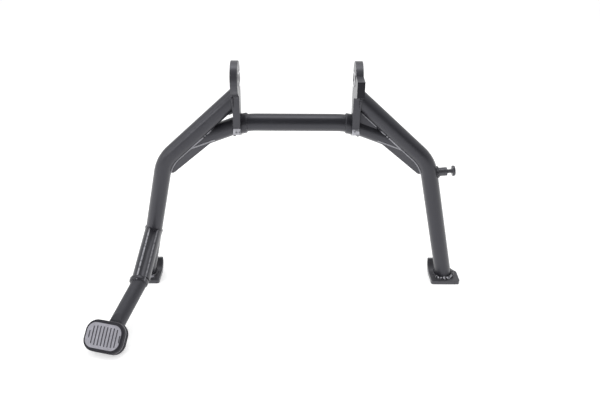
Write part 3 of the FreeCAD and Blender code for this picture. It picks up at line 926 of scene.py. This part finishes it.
def plateSeams():
    end, seat, shift, facing = leverLine()
    along = (seat - end).normalized()
    ring = tubeRing(seat, along, leverShape["leverRadius"], leverShape["seamPoints"])
    met = ontoPlane(ring, along, shift, facing)
    back = padTurn().inverted()
    seams, run = [], []
    first = min(range(len(met)), key=lambda n: -(met[n] - seat).dot(along))     # starts off the plate
    for p in met[first:] + met[:first]:
        flat = back @ (p - shift)
        onPlate = abs(flat.x) < pedalShape["plateHalf"][0] and abs(flat.y) < pedalShape["plateHalf"][1]
        if onPlate and (p - seat).dot(along) < leverShape["leverOverrun"]:
            run.append(p)
        elif run:
            seams.append((run, False))
            run = []
    return seams + ([(run, False)] if run else [])


bossShape = {
    "radius": 6.5 * mm,
    "level": -146 * mm,
    "rise": 5.5,            # degrees
}


def bossSeams():
    rise = math.radians(bossShape["rise"])
    share = (legKnee.z - bossShape["level"]) / (legKnee.z - legFoot.z)
    root = Vector((legKnee.x + (legFoot.x - legKnee.x) * share, legKnee.y, bossShape["level"]))
    along = Vector((math.cos(rise), 0, math.sin(rise)))
    seam = ringSeam(root, along, bossShape["radius"], weldLook["search"],
                    lambda p: offLine(legLine, p) < stand["tubeRadius"])
    return [(seam, True)]


def seamObject(name, seams):  # the seams as edges only, which the geometry nodes turn into beads
    mesh = bpy.data.meshes.new(name)
    corners, edges = [], []
    for points, closed in seams:
        first = len(corners)
        corners += [tuple(p) for p in points]
        edges += [(first + n, first + n + 1) for n in range(len(points) - 1)]
        if closed:
            edges.append((len(corners) - 1, first))
    mesh.from_pydata(corners, edges, [])
    obj = bpy.data.objects.new(name, mesh)
    scene.collection.objects.link(obj)
    return obj


def newTree(name, inlets):
    tree = bpy.data.node_groups.new(name, "GeometryNodeTree")
    face = tree.interface
    face.new_socket(name="Geometry", in_out="INPUT", socket_type="NodeSocketGeometry")
    for label, kind in inlets:
        face.new_socket(name=label, in_out="INPUT", socket_type=kind)
    face.new_socket(name="Geometry", in_out="OUTPUT", socket_type="NodeSocketGeometry")
    bench = Bench(tree)
    source = bench.add("NodeGroupInput").socket.node
    inputs = {socket.name: Wire(bench, socket) for socket in source.outputs if socket.name}
    return tree, bench, inputs


def weldTree():
    tree, bench, inlet = newTree("weldBead", [
        ("Bead Radius", "NodeSocketFloat"), ("Ripple Pitch", "NodeSocketFloat"),
        ("Unevenness", "NodeSocketFloat"), ("Seed", "NodeSocketInt"), ("Finish", "NodeSocketMaterial")])
    path = bench.add("GeometryNodeMeshToCurve", None, {"Mesh": inlet["Geometry"]})
    even = bench.add("GeometryNodeResampleCurve", {"mode": "LENGTH"}, {
        "Curve": path, "Length": inlet["Ripple Pitch"]})
    dots = bench.add("GeometryNodeCurveToPoints", {"mode": "EVALUATED"}, {"Curve": even}, "Points")
    turned = bench.more(dots, "Rotation")
    uneven = bench.add("FunctionNodeRandomValue", {"data_type": "FLOAT"}, {
        2: 1 - inlet["Unevenness"], 3: 1 + inlet["Unevenness"], "Seed": inlet["Seed"]}, 1)
    across = inlet["Bead Radius"] * uneven
    size = bench.add("ShaderNodeCombineXYZ", None, [
        across, across, inlet["Ripple Pitch"] * weldLook["rippleLong"]])
    ripple = bench.add("GeometryNodeMeshUVSphere", None, {"Segments": 10, "Rings": 6, "Radius": 1.0})
    ripples = bench.add("GeometryNodeInstanceOnPoints", None, {
        "Points": dots, "Instance": ripple, "Rotation": turned, "Scale": size})
    ring = bench.add("GeometryNodeCurvePrimitiveCircle", None, {
        "Resolution": 8, "Radius": inlet["Bead Radius"] * weldLook["core"]})
    core = bench.add("GeometryNodeCurveToMesh", None, {
        "Curve": even, "Profile Curve": ring, "Fill Caps": True})
    bead = bench.add("GeometryNodeJoinGeometry", None, [[core, ripples]])
    smooth = bench.add("GeometryNodeSetShadeSmooth", None, {"Geometry": bead})
    real = bench.add("GeometryNodeRealizeInstances", None, [smooth])
    done = bench.add("GeometryNodeSetMaterial", None, {"Geometry": real, "Material": inlet["Finish"]})
    bench.add("NodeGroupOutput", None, [done])
    return tree


def settle(obj, tree, values, material):  # runs the nodes once and keeps a plain mesh
    modifier = obj.modifiers.new("maker", "NODES")
    modifier.node_group = tree
    for item in tree.interface.items_tree:
        if item.item_type == "SOCKET" and item.in_out == "INPUT" and item.name in values:
            modifier[item.identifier] = values[item.name]
    held = obj.evaluated_get(bpy.context.evaluated_depsgraph_get())
    mesh = bpy.data.meshes.new_from_object(held)
    obj.modifiers.remove(modifier)
    obj.data = mesh
    mesh.name = obj.name
    if not mesh.materials:
        mesh.materials.append(material)
    return obj


cornerFill = {  # weld metal in the corner under each leg's head: x and z of its outline, then y
    "right": [(88.5 * mm, -44 * mm), (88.5 * mm, -68 * mm), (116 * mm, -78.5 * mm), (116 * mm, -69 * mm)],
    "left": [(-88.5 * mm, -44 * mm), (-88.5 * mm, -54 * mm), (-96 * mm, -57.5 * mm), (-98 * mm, -52 * mm)],
    "front": 10 * mm,
    "back": 18 * mm,
    "round": 1.2 * mm,
    "seam": (93 * mm, 114 * mm),    # x where the seam with the painted highlight runs between the right one and the leg
}


def makeCornerFills():
    shape = bmesh.new()
    for side in ("left", "right"):
        faces = [[(x, cornerFill[where], z) for x, z in cornerFill[side]] for where in ("front", "back")]
        joinRings(shape, faces)
    bmesh.ops.recalc_face_normals(shape, faces=shape.faces)
    bmesh.ops.bevel(shape, geom=shape.edges[:], offset=cornerFill["round"], segments=3,
                    affect="EDGES", profile=0.5)
    fill = keepShape("weldFillsUnderLegs", shape)
    smoothSteel(fill, coat)
    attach(fill, "root")
    report(fill)


makeCornerFills()
beads = weldTree()


def weldPiece(name, seams, radius, pitch=weldLook["ripplePitch"], uneven=weldLook["unevenness"],
              finish=weldCoat):
    obj = settle(seamObject(name, seams), beads, {
        "Bead Radius": radius,
        "Ripple Pitch": pitch,
        "Unevenness": uneven,
        "Seed": weldLook["seed"],
        "Finish": finish,
    }, finish)
    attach(obj, "root")
    report(obj)


def bothSides(seams):
    return seams + [(flip(points), closed) for points, closed in seams]


headSeams, footSeams = legSeams()
jointSeams, collarSeams = crossSeams()
weldPiece("weldsAtLegTops", bothSides(headSeams), weldLook["legHead"])
weldPiece("weldsAtFeet", bothSides(footSeams), weldLook["foot"], weldLook["footPitch"],
          weldLook["footUnevenness"], footWeldCoat)
eyeSeam, copeSeam = jointSeams
cope = copeSeam[0]
shown = [n for n, p in enumerate(cope) if p.y < legTop.y]       # the run along the front, which gets the painted seam highlight
first, last = shown[0], shown[-1]
hiddenSeams = [(cope[:first + 1], False), (cope[last:], False)]
weldPiece("weldsOnCrossTube", bothSides([eyeSeam] + hiddenSeams), weldLook["tubeJoint"])
weldPiece("weldsWhereTubesMeet", bothSides([(cope[first:last + 1], False)]), weldLook["tubesMeet"],
          finish=seamHighlightCoat)
weldPiece("weldsAtCollars", bothSides(collarSeams), weldLook["collar"])
fillFrom, fillTo = cornerFill["seam"]
fillSeam = [p for p in underLeg(cornerFill["front"]) if fillFrom < p.x < fillTo]
# the gusset seams and the seam along the right fill get the painted seam highlight too
weldPiece("weldsOnGussets", bothSides(gussetSeams()) + [(fillSeam, False)], weldLook["gusset"],
          finish=seamHighlightCoat)
weldPiece("weldAtStubNeck", neckSeam(), weldLook["neck"])
weldPiece("weldAtStubMouth", mouthSeam(), weldLook["mouth"])
weldPiece("weldsOnPedalPlate", plateSeams(), weldLook["plate"])
weldPiece("weldOnSpringBoss", bossSeams(), weldLook["boss"])
print("weld seams laid")


grooveShape = {
    "count": 10,
    "pitch": 4.85 * mm,
    "width": 1.75 * mm,
    "depth": 1.6 * mm,
    "slant": -2.0,              # degrees
    "shift": 1.8 * mm,          # to the right of the pad's middle
    "reach": 13.25 * mm,
    "field": 22.4 * mm,         # half the grooved width, where the grooves run out
    "power": 6.0,
    "endRound": 0.49,           # of the width
    "cutHeight": 4 * mm,
}


def grooveTree():  # cuts a row of round-ended grooves across the tread
    tree, bench, inlet = newTree("treadGrooves", [
        ("Count", "NodeSocketInt"), ("Pitch", "NodeSocketFloat"), ("Width", "NodeSocketFloat"),
        ("Bottom", "NodeSocketFloat"), ("Shift", "NodeSocketFloat"), ("Slant", "NodeSocketFloat"),
        ("Reach", "NodeSocketFloat"), ("Field", "NodeSocketFloat"), ("Power", "NodeSocketFloat"),
        ("Finish", "NodeSocketMaterial")])
    start = bench.add("ShaderNodeCombineXYZ", None, [(inlet["Count"] - 1) * inlet["Pitch"] * -0.5])
    step = bench.add("ShaderNodeCombineXYZ", None, [inlet["Pitch"]])
    places = bench.add("GeometryNodeMeshLine", {"mode": "OFFSET"}, {
        "Count": inlet["Count"], "Start Location": start, "Offset": step})
    here = bench.add("GeometryNodeInputPosition")
    across = bench.add("ShaderNodeSeparateXYZ", None, [here], "X").maths("ABSOLUTE")
    half = inlet["Reach"] * (1 - (across / inlet["Field"]) ** inlet["Power"]).maths("SQRT")
    size = bench.add("ShaderNodeCombineXYZ", None, [inlet["Width"], half * 2, 1.0])
    turn = bench.add("ShaderNodeCombineXYZ", None, {"Z": inlet["Slant"] * -1})
    strip = bench.add("GeometryNodeCurvePrimitiveQuadrilateral", None, {"Width": 1.0, "Height": 1.0})
    strips = bench.add("GeometryNodeInstanceOnPoints", None, {
        "Points": places, "Instance": strip, "Rotation": turn, "Scale": size})
    outlines = bench.add("GeometryNodeRealizeInstances", None, [strips])
    ends = bench.add("GeometryNodeFilletCurve", {"mode": "POLY"}, {
        "Curve": outlines, "Count": 6, "Radius": inlet["Width"] * grooveShape["endRound"],
        "Limit Radius": True})
    floors = bench.add("GeometryNodeFillCurve", {"mode": "NGONS"}, {"Curve": ends})
    tall = bench.add("GeometryNodeExtrudeMesh", {"mode": "FACES"}, {
        "Mesh": floors, "Offset Scale": grooveShape["cutHeight"], "Individual": False})
    under = bench.add("GeometryNodeFlipFaces", None, {"Mesh": floors})
    closed = bench.add("GeometryNodeJoinGeometry", None, [[tall, under]])
    whole = bench.add("GeometryNodeMergeByDistance", None, {"Geometry": closed, "Distance": 0.01 * mm})
    lift = bench.add("ShaderNodeCombineXYZ", None, {"X": inlet["Shift"], "Z": inlet["Bottom"]})
    cutters = bench.add("GeometryNodeTransform", None, {"Geometry": whole, "Translation": lift})
    cut = bench.add("GeometryNodeMeshBoolean", {"operation": "DIFFERENCE", "solver": "EXACT"}, {
        "Mesh 1": inlet["Geometry"], "Mesh 2": cutters})
    smooth = bench.add("GeometryNodeSetShadeSmooth", None, {"Geometry": cut})
    onPoints = {"data_type": "FLOAT_VECTOR", "domain": "POINT"}
    marked = bench.add("GeometryNodeStoreNamedAttribute", onPoints, {
        "Geometry": smooth, "Name": "padPlace", "Value": bench.add("GeometryNodeInputPosition")})
    real = bench.add("GeometryNodeRealizeInstances", None, [marked])
    done = bench.add("GeometryNodeSetMaterial", None, {"Geometry": real, "Material": inlet["Finish"]})
    bench.add("NodeGroupOutput", None, [done])
    return tree


def makePedal():
    pad = settle(padBlank(), grooveTree(), {
        "Count": grooveShape["count"],
        "Pitch": grooveShape["pitch"],
        "Width": grooveShape["width"],
        "Bottom": pedalShape["thick"] - grooveShape["depth"],
        "Shift": grooveShape["shift"],
        "Slant": math.radians(grooveShape["slant"]),
        "Reach": grooveShape["reach"],
        "Field": grooveShape["field"],
        "Power": grooveShape["power"],
        "Finish": rubber,
    }, rubber)
    end, seat, shift, facing = leverLine()
    pad.data.transform(Matrix.Translation(shift) @ padTurn())
    pad.data.set_sharp_from_angle(angle=math.radians(38))
    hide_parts("pedal_pad")
    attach(pad, "root")
    report(pad)


makePedal()
makeStub()
